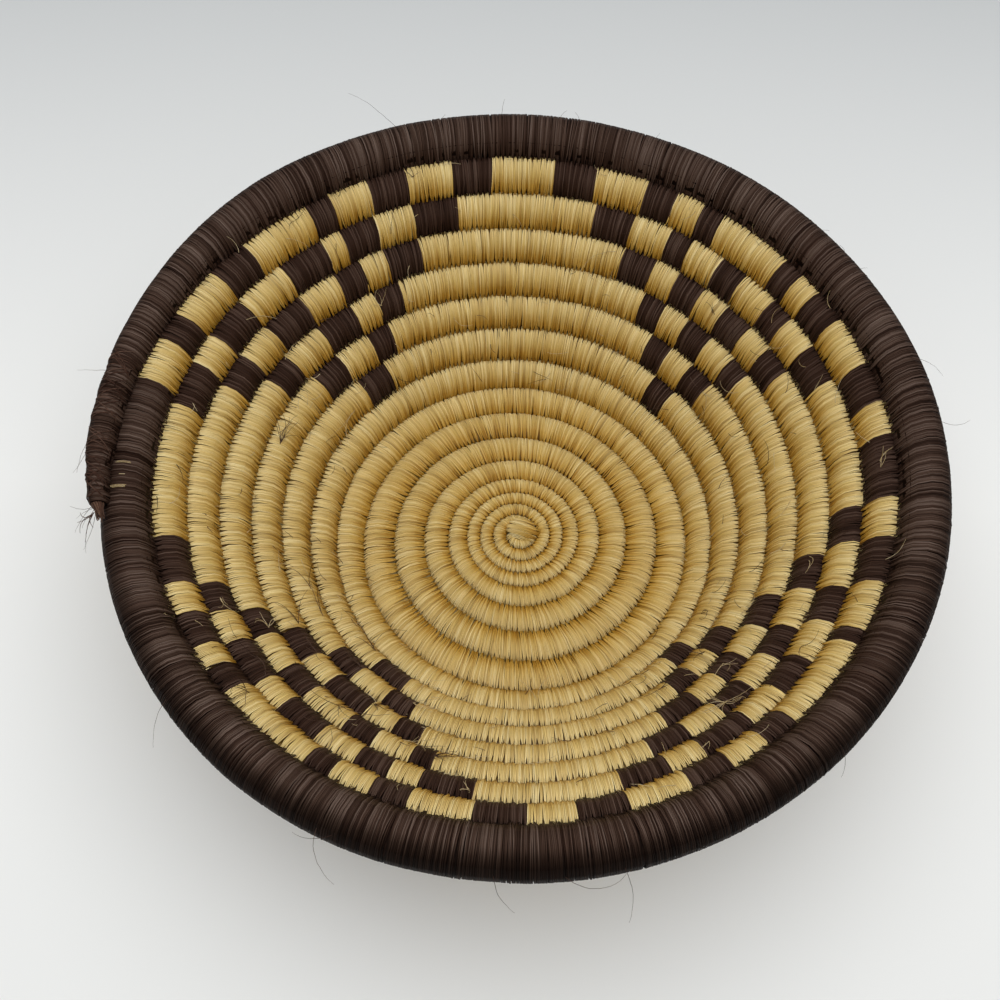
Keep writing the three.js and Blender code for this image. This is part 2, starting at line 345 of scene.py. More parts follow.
def raffiaFinish(name, look):
    material, tree, shader = shaderTree(name)
    tone = tree.nodes.new("ShaderNodeAttribute")
    tone.attribute_name = "tone"
    loop = tree.nodes.new("ShaderNodeUVMap")
    loop.uv_map = "loop"
    place = tree.nodes.new("ShaderNodeTexCoord")
    # streaks run along each fibre, and every fibre has its own
    apart = maths(tree, "MULTIPLY", tone.outputs["Fac"], fibreFinish["apart"])
    along, across = splitUp(tree, loop.outputs["UV"])[:2]
    streakPlace = addNode(
        tree, "ShaderNodeCombineXYZ", X=maths(tree, "MULTIPLY", along, look["streakLong"]),
        Y=maths(tree, "MULTIPLY", across, look["streakFine"]), Z=apart,
    )
    streaks = addNode(tree, "ShaderNodeTexNoise", Vector=result(streakPlace), Scale=1.0, Detail=3.0)
    patches = addNode(
        tree, "ShaderNodeTexNoise", Vector=place.outputs["Object"], Scale=look["patchScale"], Detail=2.0
    )
    colour = colourRamp(tree, tone.outputs["Fac"], look["tones"])
    patchShare = maths(tree, "MULTIPLY", patches.outputs["Fac"], look["patchShare"])
    colour = mixColour(tree, "MIX", patchShare, colour, (*look["patchColour"], 1))
    streakColour = colourRamp(tree, streaks.outputs["Fac"], look["streaks"])
    colour = mixColour(tree, "MULTIPLY", 1.0, colour, streakColour)
    paintedShading = colourRamp(tree, along, look["paintedShade"])  # painted shade: darker and golden in the groove and on the dive side
    colour = mixColour(tree, "MULTIPLY", 1.0, colour, paintedShading)
    # painted highlight: cream on the outer side and crest
    highlightShare = colourRamp(tree, along, [(at, (share,) * 3) for at, share in look["paintedHighlight"]])
    colour = mixColour(tree, "MIX", highlightShare, colour, (*look["highlightColour"], 1))
    # painted shade, darker towards the front
    if "shade" in look:
        depth = splitUp(tree, place.outputs["Object"])[1]
        start, full = look["front"]
        front = mapRange(tree, depth, From_Min=start, From_Max=full)
        shade = colourRamp(tree, along, look["shade"])
        colour = mixColour(tree, "MULTIPLY", front, colour, shade)
    plug(tree, colour, shader.inputs["Base Color"])
    smoothest, roughest = look["roughness"]
    rough = mapRange(tree, streaks.outputs["Fac"], To_Min=smoothest, To_Max=roughest)
    plug(tree, rough, shader.inputs["Roughness"])
    shader.inputs["Specular IOR Level"].default_value = look["shine"]
    shader.inputs["Specular Tint"].default_value = (*look["shineColour"], 1)
    bump = addNode(
        tree, "ShaderNodeBump", Height=streaks.outputs["Fac"], Strength=look["bump"],
        Distance=fibreFinish["bumpDepth"] * mm,
    )
    plug(tree, result(bump), shader.inputs["Normal"])
    return material


def paintedShadeRound(groove, outerSide, crest, diveShade):  # painted shade round a stitch: outer side, crest, dive, and back again
    half = [(0, groove), (0.05, outerSide), (0.12, outerSide), (0.2, crest), (0.31, diveShade), (0.4, groove)]
    return half + [(1 - place, colour) for place, colour in reversed(half)]


naturalLook = {
    # the tone at 0 is the sleeve's, near black: painted shade in the gaps between fibres
    "tones": [
        (0, (0.06, 0.027, 0.002)), (0.2, (0.5, 0.315, 0.059)), (0.6, (0.77, 0.57, 0.179)),
        (1, (0.95, 0.82, 0.457)),
    ],
    "streaks": [(0.3, (0.60, 0.47, 0.2)), (0.62, (1.0, 1.0, 1.0))],
    # painted shade: darker and more golden on the dive side and in the groove
    "paintedShade": paintedShadeRound((0.6, 0.43, 0.12), (1.0, 1.0, 1.0), (0.97, 0.94, 0.88), (0.85, 0.71, 0.42)),
    "streakLong": 4.0, "streakFine": 6.0, "patchScale": 38.0, "patchShare": 0.34,
    "patchColour": (0.70, 0.46, 0.1), "roughness": (0.36, 0.54), "shine": 0.4,
    "shineColour": (1.0, 0.93, 0.76), "bump": 0.6,
    # painted highlight: cream on the outer side and crest
    "paintedHighlight": [(0.02, 0), (0.06, 0.36), (0.12, 0.36), (0.2, 0.12), (0.29, 0)],
    "highlightColour": (0.97, 0.8, 0.425),
}
brownLook = {
    # the tone at 0 is the sleeve's: painted shade in the gaps
    "tones": [
        (0, (0.002, 0.001, 0.0006)), (0.2, (0.017, 0.0083, 0.0052)), (0.6, (0.06, 0.033, 0.0225)),
        (1, (0.19, 0.128, 0.1)),
    ],
    "streaks": [(0.3, (0.3, 0.24, 0.2)), (0.62, (1.0, 1.0, 1.0))],
    # painted shade: darker in the groove and on the dive side
    "paintedShade": paintedShadeRound((0.5, 0.44, 0.4), (0.9, 0.87, 0.85), (1.0, 1.0, 1.0), (0.75, 0.7, 0.66)),
    "streakLong": 4.0, "streakFine": 6.0, "patchScale": 38.0, "patchShare": 0.5,
    "patchColour": (0.042, 0.0165, 0.0105), "roughness": (0.46, 0.66), "shine": 0.1,
    "shineColour": (1.0, 0.82, 0.72), "bump": 0.6, "paintedHighlight": [(0, 0), (1, 0)], "highlightColour": (0, 0, 0),
}
rimLook = {  # painted shade: the rim is lightest on top and darker on its outer and lower side, most of all in front
    "shine": 0.06,
    # the tone at 0 is the sleeve's: painted shade in the gaps
    "tones": [
        (0, (0.003, 0.0015, 0.001)), (0.2, (0.0225, 0.0123, 0.0083)), (0.6, (0.106, 0.067, 0.05)),
        (1, (0.218, 0.159, 0.13)),
    ],
    # painted shade: lightest on top, darker on the outer and lower side
    "paintedShade": [
        (0, (0.5, 0.46, 0.43)), (0.06, (0.72, 0.69, 0.67)), (0.12, (0.93, 0.92, 0.91)),
        (0.16, (1.0, 1.0, 1.0)), (0.22, (1.0, 1.0, 1.0)), (0.31, (0.75, 0.7, 0.66)),
        (0.41, (0.5, 0.44, 0.4)), (0.6, (0.38, 0.34, 0.31)), (0.94, (0.4, 0.36, 0.33)),
        (1, (0.5, 0.46, 0.43)),
    ],
    "front": (0.0, -0.1),  # from where to where the painted shade sets in, in metres
    # painted shade in front, on the outer and lower side
    "shade": [
        (0, (0.22, 0.19, 0.17)), (0.06, (0.42, 0.39, 0.36)), (0.12, (0.92, 0.91, 0.9)),
        (0.16, (1.0, 1.0, 1.0)), (0.23, (0.82, 0.8, 0.78)), (0.31, (0.62, 0.59, 0.57)),
        (0.6, (0.62, 0.59, 0.57)), (0.94, (0.3, 0.27, 0.25)), (1, (0.22, 0.19, 0.17)),
    ],
}
grassLook = {
    "tones": [(0, (0.02, 0.01, 0.007)), (0.5, (0.07, 0.034, 0.022)), (1, (0.2, 0.12, 0.075))],
    "streaks": [(0.25, (0.6, 0.55, 0.5)), (0.65, (1.0, 1.0, 1.0))],
    "paintedShade": [(0, (1.0, 1.0, 1.0)), (1, (1.0, 1.0, 1.0))],
    "streakLong": 9.0, "streakFine": 3.0, "patchScale": 30.0, "patchShare": 0.25,
    "patchColour": (0.12, 0.04, 0.022), "roughness": (0.6, 0.85), "shine": 0.25,
    "shineColour": (1.0, 0.9, 0.8), "bump": 0.5, "paintedHighlight": [(0, 0), (1, 0)], "highlightColour": (0, 0, 0),
}
looseLook = {
    "paintedShade": grassLook["paintedShade"], "paintedHighlight": grassLook["paintedHighlight"], "streakLong": 9.0, "streakFine": 2.0,
    "bump": 0.2,
}
looseTones = [(0, (0.34, 0.27, 0.17)), (0.6, (0.52, 0.44, 0.30)), (1, (0.70, 0.63, 0.48))]  # weathered
frayedTones = [(0, (0.026, 0.012, 0.008)), (0.6, (0.075, 0.038, 0.026)), (1, (0.17, 0.1, 0.072))]
naturalRaffia = raffiaFinish("natural_raffia_fibres", naturalLook)
brownRaffia = raffiaFinish("brown_raffia_fibres", brownLook)
rimRaffia = raffiaFinish("brown_raffia_faded", {**brownLook, **rimLook})
dryGrass = raffiaFinish("dry_grass_stalks", grassLook)
looseNatural = raffiaFinish("natural_raffia_loose", {**naturalLook, **looseLook, "tones": looseTones})
looseBrown = raffiaFinish("brown_raffia_loose", {**brownLook, **looseLook})
frayedBrown = raffiaFinish("brown_raffia_frayed", {**brownLook, **looseLook, "tones": frayedTones})
toneSpread = {  # how far stitches, and the fibres in them, differ in tone
    naturalRaffia: ((0.2, 0.38), (-0.11, 0.69)),
    brownRaffia: ((0.22, 0.36), (0.02, 0.58)),
    rimRaffia: ((0.24, 0.34), (-0.1, 0.72)),
}
print("basket: finishes made")


# Stitches: each is a few fibres that go round the coil and dive into the coil inside it
stitch = {
    "fibres": 4, "fibreWidth": 0.42, "overlap": 0.14,  # millimetres, and a share of the width
    "crown": {"inner": 0.16, "wall": 0.095, "rim": 0.03},  # how far a stitch rounds off, in millimetres
    "relief": 0.05,  # how far a fibre rounds off
    "slantSpread": math.radians(2), "fibreSpread": math.radians(1.1),
    "lap": 0.15, "lift": 0.006, "widthSpread": 0.1, "waver": 0.12, "pathStep": 2, "turnSteps": 60,
    "seed": 11, "bakeMargin": 0.05,
    "strayShare": 0.05, "strayLean": math.radians(5), "strayLift": 0.014,  # fibres that lie over the others
    "sleeveHigh": 0.77, "sleeveWide": 1.07, "sleeveShift": 0.1, "sleeveStep": 3, "sleeveSides": 12,
    # each kind: width where it dives, how far over the next coil, how high there, width at the outer side
    "kinds": [
        (0.5, 1.21, 0.54, 0.45), (0.38, 1.24, 0.56, 0.36), (0.66, 1.18, 0.52, 0.62), (0.85, 1.16, 0.5, 0.86),
    ],
    "rimWidth": 1.02, "rimSleeve": 0.93,  # nothing is sewn through the rim's outer side
}


def loopOutline(pinch, reach, rise, outerPinch):
    # width by the angle from the outer side, in degrees, and then the dive into the next coil
    narrow = {0: outerPinch, 26: 0.15 + 0.85 * outerPinch, 52: 0.97 + 0.03 * outerPinch, 88: 1, 118: 1}
    upper = [(math.cos(math.radians(a)), math.sin(math.radians(a)), share) for a, share in narrow.items()]
    upper += [(0.28 - reach * 0.93, 0.48 + rise * 0.4, 0.88 + 0.12 * pinch), (-reach, rise, pinch)]
    upper += [(-reach - 0.1, rise / 2, pinch * 0.8)]
    return upper + [(x, -z, share) for x, z, share in reversed(upper[1:])]


def fibreLoop(name, number, kind, half, crown, draw):
    outline = loopOutline(*kind)
    middle = (stitch["fibres"] - 1) / 2
    home = number - middle
    built = bmesh.new()
    loop = built.loops.layers.uv.new("loop")
    rings = []
    for x, z, narrow in outline:
        waver = draw.uniform(-1, 1) * stitch["waver"]
        ring = []
        for side in (-0.5, 0, 0.5):
            along = home + side * (1 + stitch["overlap"])
            drop = crown * (along / (middle + 0.5)) ** 2 + (stitch["relief"] if side else 0)
            shrink = 1 - drop / half
            ring.append(built.verts.new((x * shrink, along * narrow - home + waver, z * shrink)))
        rings.append(ring)
    count = len(rings)
    for i in range(count):
        for s in range(3):
            here, after = rings[i], rings[(i + 1) % count]
            face = built.faces.new((here[s], here[(s + 1) % 3], after[(s + 1) % 3], after[s]))
            corners = ((i, s), (i, s + 1), (i + 1, s + 1), (i + 1, s))
            for corner, (around, side) in zip(face.loops, corners):
                corner[loop].uv = (around / count, side / 3)
    bmesh.ops.recalc_face_normals(built, faces=built.faces)
    mesh = bpy.data.meshes.new(name)
    built.to_mesh(mesh)
    built.free()
    return mesh


def stitchShapes(place, size, outerWidth=0):
    name = place + "Stitch"
    crown = stitch["crown"][place]
    shapes = bpy.data.collections.new(name)
    draw = random.Random(name)
    for i, (pinch, reach, rise, outerPinch) in enumerate(stitch["kinds"]):
        kind = (pinch, reach, rise, max(outerPinch, outerWidth))
        for number in range(stitch["fibres"]):
            label = f"{name}_{i}_{number}"
            loop = fibreLoop(label, number, kind, size / 2, crown, draw)
            shapes.objects.link(bpy.data.objects.new(label, loop))
    return shapes


def wrapTree():
    tree, given = newTree("raffiaWrap", {
        "Geometry": "Geometry", "Stitches": "Collection", "Material": "Material",
        **dict.fromkeys(("Fibres", "Kinds", "Sleeve Sides", "Bake Columns", "Seed"), "Int"),
        **dict.fromkeys((
            "Inset", "Fibre Width", "Width Spread", "Slant Spread", "Fibre Spread", "Lift", "Stray Share",
            "Stray Lean", "Stray Lift", "Sleeve High", "Sleeve Wide", "Sleeve Shift", "Sleeve Step",
            "Stitch Low", "Stitch High", "Fibre Low", "Fibre High",
        ), "Float"),
    })
    path = result(addNode(tree, "GeometryNodeMeshToCurve", Mesh=given["Geometry"]))
    long = result(addNode(tree, "GeometryNodeSplineLength"), "Length")
    inner = addNode(
        tree, "GeometryNodeTrimCurve", {"mode": "LENGTH"}, Curve=path, Start=given["Inset"],
        End=maths(tree, "SUBTRACT", long, given["Inset"]),
    )
    places = addNode(
        tree, "GeometryNodeResampleCurve", {"mode": "LENGTH"},
        Curve=result(inner), Length=given["Fibre Width"],
    )
    index = result(addNode(tree, "GeometryNodeInputIndex"))
    stitchNumber = maths(tree, "FLOOR", maths(tree, "DIVIDE", index, given["Fibres"]))
    kind = maths(tree, "FLOOR", chance(tree, 0.0, given["Kinds"], given["Seed"], stitchNumber))
    inStitch = maths(tree, "MODULO", index, given["Fibres"])
    shape = maths(tree, "ADD", maths(tree, "MULTIPLY", kind, given["Fibres"]), inStitch)
    # each loop stands across the path, slanted a little, and no two alike
    square = addNode(
        tree, "FunctionNodeAxesToRotation", {"primary_axis": "X", "secondary_axis": "Z"},
        Primary_Axis=attributeOf(tree, "across", "FLOAT_VECTOR"),
        Secondary_Axis=attributeOf(tree, "normal", "FLOAT_VECTOR"),
    )
    seeds = [maths(tree, "ADD", given["Seed"], step) for step in range(1, 9)]
    strays = maths(tree, "LESS_THAN", chance(tree, 0.0, 1.0, seeds[6], index), given["Stray Share"])
    strayLean = maths(tree, "MULTIPLY", chance(tree, -1.0, 1.0, seeds[7], index), given["Stray Lean"])
    stitchSlant = chance(tree, -1.0, 1.0, seeds[0], stitchNumber)
    fibreSlant = chance(tree, -1.0, 1.0, seeds[1], index)
    slant = maths(
        tree, "ADD", attributeOf(tree, "lean"),
        maths(
            tree, "ADD", maths(tree, "MULTIPLY", stitchSlant, given["Slant Spread"]),
            maths(tree, "MULTIPLY", fibreSlant, given["Fibre Spread"]),
        ),
    )
    slant = maths(tree, "MULTIPLY_ADD", strays, strayLean, slant)
    lean = addNode(tree, "FunctionNodeAxisAngleToRotation", Axis=(0, 0, 1), Angle=slant)
    turned = addNode(
        tree, "FunctionNodeRotateRotation", {"rotation_space": "LOCAL"},
        Rotation=result(square), Rotate_By=result(lean),
    )
    lift = maths(tree, "MULTIPLY_ADD", chance(tree, -1.0, 1.0, seeds[2], index), given["Lift"], 1.0)
    lift = maths(tree, "MULTIPLY_ADD", strays, given["Stray Lift"], lift)
    wider = maths(tree, "MULTIPLY_ADD", chance(tree, -1.0, 1.0, seeds[3], index), given["Width Spread"], 1.0)
    size = addNode(
        tree, "ShaderNodeCombineXYZ",
        X=maths(tree, "MULTIPLY", attributeOf(tree, "wide"), lift),
        Y=maths(tree, "MULTIPLY", given["Fibre Width"], wider),
        Z=maths(tree, "MULTIPLY", attributeOf(tree, "high"), lift),
    )
    shapes = addNode(
        tree, "GeometryNodeCollectionInfo", Collection=given["Stitches"],
        Separate_Children=True, Reset_Children=True,
    )
    loops = addNode(
        tree, "GeometryNodeInstanceOnPoints", Points=result(places), Instance=result(shapes),
        Pick_Instance=True, Instance_Index=shape, Rotation=result(turned), Scale=result(size),
    )
    tone = maths(
        tree, "ADD", chance(tree, given["Stitch Low"], given["Stitch High"], seeds[4], stitchNumber),
        chance(tree, given["Fibre Low"], given["Fibre High"], seeds[5], index),
    )
    fibres = keepAttribute(tree, result(loops), "tone", tone, "FLOAT", "INSTANCE")
    fibres = keepAttribute(tree, fibres, "cell", maths(tree, "ADD", index, 1.0), "FLOAT", "INSTANCE")
    fibres = result(addNode(tree, "GeometryNodeRealizeInstances", Geometry=fibres))
    # a sleeve under the fibres closes the gaps between them and the groove; its near-black tone is painted
    # shade
    coarse = addNode(
        tree, "GeometryNodeResampleCurve", {"mode": "LENGTH"}, Curve=path, Length=given["Sleeve Step"]
    )
    share = result(addNode(tree, "GeometryNodeSplineParameter"), "Factor")
    position = result(addNode(tree, "GeometryNodeInputPosition"))
    spine = keepAttribute(tree, result(coarse), "share", share, "FLOAT", "POINT")
    spine = keepAttribute(tree, spine, "spine", position, "FLOAT_VECTOR", "POINT")
    ring = roundRing(tree, given["Sleeve Sides"], share)
    high = maths(tree, "MULTIPLY", attributeOf(tree, "high"), given["Sleeve High"])
    sleeve = result(addNode(
        tree, "GeometryNodeCurveToMesh", Curve=spine, Profile_Curve=ring, Fill_Caps=True, Scale=high
    ))
    across, wide = attributeOf(tree, "across", "FLOAT_VECTOR"), attributeOf(tree, "wide")
    fromSpine = vectors(tree, "SUBTRACT", position, attributeOf(tree, "spine", "FLOAT_VECTOR"))
    sideways = vectors(tree, "DOT_PRODUCT", fromSpine, across)
    stretch = maths(tree, "DIVIDE", maths(tree, "MULTIPLY", wide, given["Sleeve Wide"]), high)
    moved = maths(
        tree, "SUBTRACT", maths(tree, "MULTIPLY", sideways, maths(tree, "SUBTRACT", stretch, 1.0)),
        maths(tree, "MULTIPLY", wide, given["Sleeve Shift"]),
    )
    sleeve = result(addNode(
        tree, "GeometryNodeSetPosition", Geometry=sleeve, Offset=vectors(tree, "SCALE", across, moved)
    ))
    sleeve = tubeLoop(tree, sleeve)
    # tone 0 is the darkest colour of the finish: painted shade in the gaps
    sleeve = keepAttribute(tree, sleeve, "tone", 0.0, "FLOAT", "POINT")
    sleeve = keepAttribute(tree, sleeve, "cell", 0.0, "FLOAT", "POINT")
    join = tree.nodes.new("GeometryNodeJoinGeometry")
    for part in (fibres, sleeve):
        tree.links.new(part, join.inputs[0])
    # every fibre has a cell of its own on the map that a bake uses
    cell, columns, margin = attributeOf(tree, "cell"), given["Bake Columns"], stitch["bakeMargin"]
    inCell = splitUp(tree, attributeOf(tree, "loop", "FLOAT_VECTOR"))
    column = maths(tree, "MODULO", cell, columns)
    line = maths(tree, "FLOOR", maths(tree, "DIVIDE", cell, columns))
    bakePlace = tree.nodes.new("ShaderNodeCombineXYZ")
    for spot, local, socket in zip((column, line), inCell, bakePlace.inputs):
        inset = maths(tree, "MULTIPLY_ADD", local, 1 - 2 * margin, margin)
        plug(tree, maths(tree, "DIVIDE", maths(tree, "ADD", spot, inset), columns), socket)
    mapped = keepAttribute(tree, join.outputs[0], "OFBake", result(bakePlace), "FLOAT2", "CORNER")
    return endTree(tree, mapped, given["Material"])


def pathMesh(name, runs):
    mesh = bpy.data.meshes.new(name)
    places, edges = [], []
    for run in runs:
        first = len(places)
        places += run
        edges += [(first + i, first + i + 1) for i in range(len(run) - 1)]
    mesh.from_pydata([p["centre"] for p in places], edges, [])
    for label, first in places[0].items():
        if label == "centre":
            continue
        kind, field = ("FLOAT_VECTOR", "vector") if isinstance(first, Vector) else ("FLOAT", "value")
        values = [p[label] for p in places]
        if field == "vector":
            values = [number for value in values for number in value]
        mesh.attributes.new(label, kind, "POINT").data.foreach_set(field, values)
    return mesh


def coilRun(start, end):
    start -= turnShare(stitch["lap"], start)
    end += turnShare(stitch["lap"], end)
    step = min(turnShare(stitch["pathStep"], start), 1 / stitch["turnSteps"])
    count = max(2, round((end - start) / step))
    return [coilPlace(start + (end - start) * i / count) for i in range(count + 1)]


def wrapPiece(name, runs, shapes, material, sleeveHigh=stitch["sleeveHigh"]):
    width = stitch["fibreWidth"] * mm
    long = sum((a["centre"] - b["centre"]).length for run in runs for a, b in zip(run, run[1:]))
    fibreCount = long / width + 2 * len(runs) + 1
    values = {
        "Stitches": shapes, "Fibres": stitch["fibres"], "Kinds": len(stitch["kinds"]),
        "Inset": width / 2 + stitch["lap"] * mm, "Fibre Width": width, "Width Spread": stitch["widthSpread"],
        "Slant Spread": stitch["slantSpread"], "Fibre Spread": stitch["fibreSpread"],
        "Lift": stitch["lift"], "Stray Share": stitch["strayShare"], "Stray Lean": stitch["strayLean"],
        "Stray Lift": stitch["strayLift"],
        "Sleeve High": sleeveHigh, "Sleeve Wide": stitch["sleeveWide"],
        "Sleeve Shift": stitch["sleeveShift"], "Sleeve Step": stitch["sleeveStep"] * mm,
        "Sleeve Sides": stitch["sleeveSides"], "Bake Columns": math.ceil(math.sqrt(fibreCount)),
        "Seed": stitch["seed"] + sum(map(ord, name)), "Material": material,
    }
    tones = [tone for spread in toneSpread[material] for tone in spread]
    values.update(zip(("Stitch Low", "Stitch High", "Fibre Low", "Fibre High"), tones))
    return runTree(name, pathMesh(name + "_path", runs), raffiaWrap, values)


def dress(piece, node):
    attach(piece, "root")
    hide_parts(node)


raffiaWrap = wrapTree()
innerShapes = stitchShapes("inner", coil["startSize"])
wallShapes = stitchShapes("wall", coil["wallSize"])
rimShapes = stitchShapes("rim", coil["rimSize"], stitch["rimWidth"])


# Rows: one turn each, starting on the left; each list has where brown starts and ends, in degrees
rows = {
    "baseRows": 8, "innerRows": 3, "firstRow": 9,  # plain rows, the finest of them, and the first wall row
    "start": 0.5, "hiddenStart": 0.5,  # where a row starts, in turns, and the first one under the knot
    "rimLean": 0.5,  # the rim's stitches slant less
    "triangles": [
        {"front_left": [230, 240], "front_right": [315, 321.5],
         "back_right": [403, 410], "back_left": [490.5, 499.5]},
        {"front_left": [222.5, 230.5, 239.5, 246.5], "front_right": [308.5, 314.5, 321, 328.5],
         "back_right": [396.5, 403.5, 410, 416], "back_left": [485, 491, 500, 508]},
        {"front_left": [215, 222.5, 229.5, 239.5, 246, 251.5],
         "front_right": [301, 309, 315.5, 322, 329.5, 337.5],
         "back_right": [391.5, 396.5, 403.5, 410, 416, 421.5],
         "back_left": [479, 485, 491, 500, 509.5, 516]},
        {"front_left": [209.5, 215.5, 223.5, 230, 239, 245, 252, 256],
         "front_right": [294.5, 302, 309, 316, 323, 330, 338.5, 346],
         "back_right": [386, 392, 398, 404.5, 410.5, 416.5, 422, 429],
         "back_left": [472, 479.5, 485, 491, 499.5, 508.5, 516, 523]},
        {"front_left": [204, 210, 216, 224.5, 230, 238, 245, 250.5, 255.5, 264],
         "front_right": [287, 295, 301, 310, 317, 324, 331.5, 338.5, 347, 354],
         "back_right": [379, 386.5, 393, 398, 405, 410.5, 417, 421.5, 429, 436.5],
         "back_left": [463, 471.5, 479, 486, 490, 499, 509, 517, 523, 531.5]},
    ],
    "top": [196, 204.5, 210, 216, 220, 224.5, 240, 244, 250, 255.5, 264.5, 272, 279, 286.5, 295.5, 302,
            308, 313, 328, 330.5, 339, 347, 354, 365, 371, 378, 387, 393, 397, 401, 414, 418, 423, 428.5,
            437.5, 445, 456, 463, 471, 478, 485, 489.5, 502, 509, 518, 523],
}


def spansOf(row, degrees):  # brown spans of a row, in turns
    turns = [row + d / fullTurn for d in degrees]
    return list(zip(turns[::2], turns[1::2]))


def between(start, end, spans):  # what the spans leave of a row
    edges = [start] + [turn for span in spans for turn in span] + [end]
    return list(zip(edges[::2], edges[1::2]))


for number in range(1, rows["baseRows"] + 1):
    start = number + rows["start"] if number > 1 else rows["hiddenStart"]
    run = coilRun(start, number + 1 + rows["start"])
    shapes = innerShapes if number <= rows["innerRows"] else wallShapes
    piece = wrapPiece(f"raffia_base_{number}", [run], shapes, naturalRaffia)
    dress(piece, f"base_wrap_{number}")
print("basket: base wrapped")

brownRows = rows["triangles"] + [{"round": rows["top"]}]
for number, corners in enumerate(brownRows, 1):
    row = rows["firstRow"] + number - 1
    brown = {corner: spansOf(row, degrees) for corner, degrees in corners.items()}
    for corner, spans in brown.items():
        runs = [coilRun(*span) for span in spans]
        piece = wrapPiece(f"raffia_brown_{number}_{corner}", runs, wallShapes, brownRaffia)
        dress(piece, f"brown_strand_{number}_{corner}")
    start = row + rows["start"]
    last = coil["rimTurn"] if corners is brownRows[-1] else start + 1
    spans = between(start, last, sorted(s for spans in brown.values() for s in spans))
    runs = [coilRun(*span) for span in spans]
    piece = wrapPiece(f"raffia_row_{number}", runs, wallShapes, naturalRaffia)
    dress(piece, f"row_wrap_{number}")
print("basket: patterned rows wrapped")

rimEnd = coil["lastTurn"] - turnShare(coil["tuft"], coil["lastTurn"])
rimRun = coilRun(coil["rimTurn"], rimEnd)
for place in rimRun:
    place["lean"] *= rows["rimLean"]
piece = wrapPiece("raffia_rim", [rimRun], rimShapes, rimRaffia, stitch["rimSleeve"])
dress(piece, "rim_wrap")
print("basket: rim wrapped")


# Knot: strands laid side by side over the start of the coil
knot = {
    "heading": math.radians(163), "long": 5.6, "wide": 4.3, "high": 2.0, "offset": (0.7, 1.9), "rise": 0.95,
    "steps": 24, "fullness": 0.93,
}


def knotRun():
    along = Vector((math.cos(knot["heading"]), math.sin(knot["heading"]), 0))
    aside = up.cross(along)
    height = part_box("start_knot")[1].z - (knot["high"] - knot["rise"]) * mm
    middle = axis + Vector((*knot["offset"], 0)) * mm + up * height
    run = []
    for i in range(knot["steps"] + 1):
        share = 2 * i / knot["steps"] - 1
        bow = math.sqrt(1 - (knot["fullness"] * share) ** 2)
        run.append({
            "centre": middle + aside * share * knot["wide"] * mm, "across": along, "normal": up, "lean": 0,
            "wide": knot["long"] * bow * mm, "high": knot["high"] * bow * mm,
        })
    return run


piece = wrapPiece("raffia_knot", [knotRun()], innerShapes, naturalRaffia)
dress(piece, "start_knot")


# Grass bundle inside the wraps, with its frayed end
grass = {"share": 0.72, "perTurn": 100, "sides": 5, "seed": 5}
tail = {  # the stalks at the rim's end draw together to a tip
    "stalks": 70, "from": 7, "beyond": 0.8, "steps": 9, "thick": 0.24, "draw": 0.62, "twist": 0.9,
    "stray": 1.0, "spread": 0.78, "seed": 31, "lap": 1,  # millimetres that they run on inside the bundle
    "shortest": 0.55, "closeFrom": 0.35, "pointed": 0.6,  # shares of a stalk's length and thickness
}
goldenAngle = math.pi * (3 - math.sqrt(5))


def tubeTree():
    tree, given = newTree("fibreTube", {
        "Geometry": "Geometry", "Sides": "Int", "Tone Low": "Float", "Tone High": "Float", "Seed": "Int",
        "Material": "Material",
    })
    path = result(addNode(tree, "GeometryNodeMeshToCurve", Mesh=given["Geometry"]))
    share = result(addNode(tree, "GeometryNodeSplineParameter"), "Factor")
    path = keepAttribute(tree, path, "share", share, "FLOAT", "POINT")
    ring = roundRing(tree, given["Sides"], share)
    tube = result(addNode(
        tree, "GeometryNodeCurveToMesh", Curve=path, Profile_Curve=ring, Fill_Caps=True,
        Scale=attributeOf(tree, "wide"),
    ))
    tube = tubeLoop(tree, tube)
    island = result(addNode(tree, "GeometryNodeInputMeshIsland"), "Island Index")
    tone = chance(tree, given["Tone Low"], given["Tone High"], given["Seed"], island)
    tube = keepAttribute(tree, tube, "tone", tone, "FLOAT", "POINT")
    return endTree(tree, tube, given["Material"])


def tubePiece(name, runs, look, sides, seed, tones=(0.0, 1.0)):
    values = {"Sides": sides, "Tone Low": tones[0], "Tone High": tones[1], "Seed": seed, "Material": look}
    return runTree(name, pathMesh(name + "_path", runs), fibreTube, values)


def bundleRun():
    first, last = coil["firstTurn"], coil["lastTurn"]
    last -= turnShare(tail["from"] - tail["lap"], last)
    count = round((last - first) * grass["perTurn"])
    places = [coilPlace(first + (last - first) * i / count) for i in range(count + 1)]
    return [{"centre": p["centre"], "wide": p["high"] * grass["share"]} for p in places]


def tailRuns():
    draw = random.Random(tail["seed"])
    first = coil["lastTurn"] - turnShare(tail["from"], coil["lastTurn"])
    whole = turnShare(tail["from"] + tail["beyond"], coil["lastTurn"])
    runs = []
    for i in range(tail["stalks"]):
        share = math.sqrt((i + 0.5) / tail["stalks"])
        long = draw.uniform(tail["shortest"], 1)
        astray = Vector([draw.uniform(-1, 1) for number in range(3)]) * tail["stray"] * mm
        run = []
        for step in range(tail["steps"] + 1):
            along = step / tail["steps"] * long
            closing = max(along - tail["closeFrom"], 0) / (1 - tail["closeFrom"])
            spread = share * tail["spread"] * (1 - tail["draw"] * closing)
            angle = i * goldenAngle + tail["twist"] * along
            spot = onCoil(first + whole * along, angle, spread) + astray * closing ** 2
            thick = tail["thick"] * (1 - tail["pointed"] * along)
            run.append({"centre": spot, "wide": thick * mm})
        runs.append(run)
    return runs


fibreTube = tubeTree()
piece = tubePiece("grass_bundle", [bundleRun()] + tailRuns(), dryGrass, grass["sides"], grass["seed"])
dress(piece, "foundation_coil")
print("basket: grass bundle made")


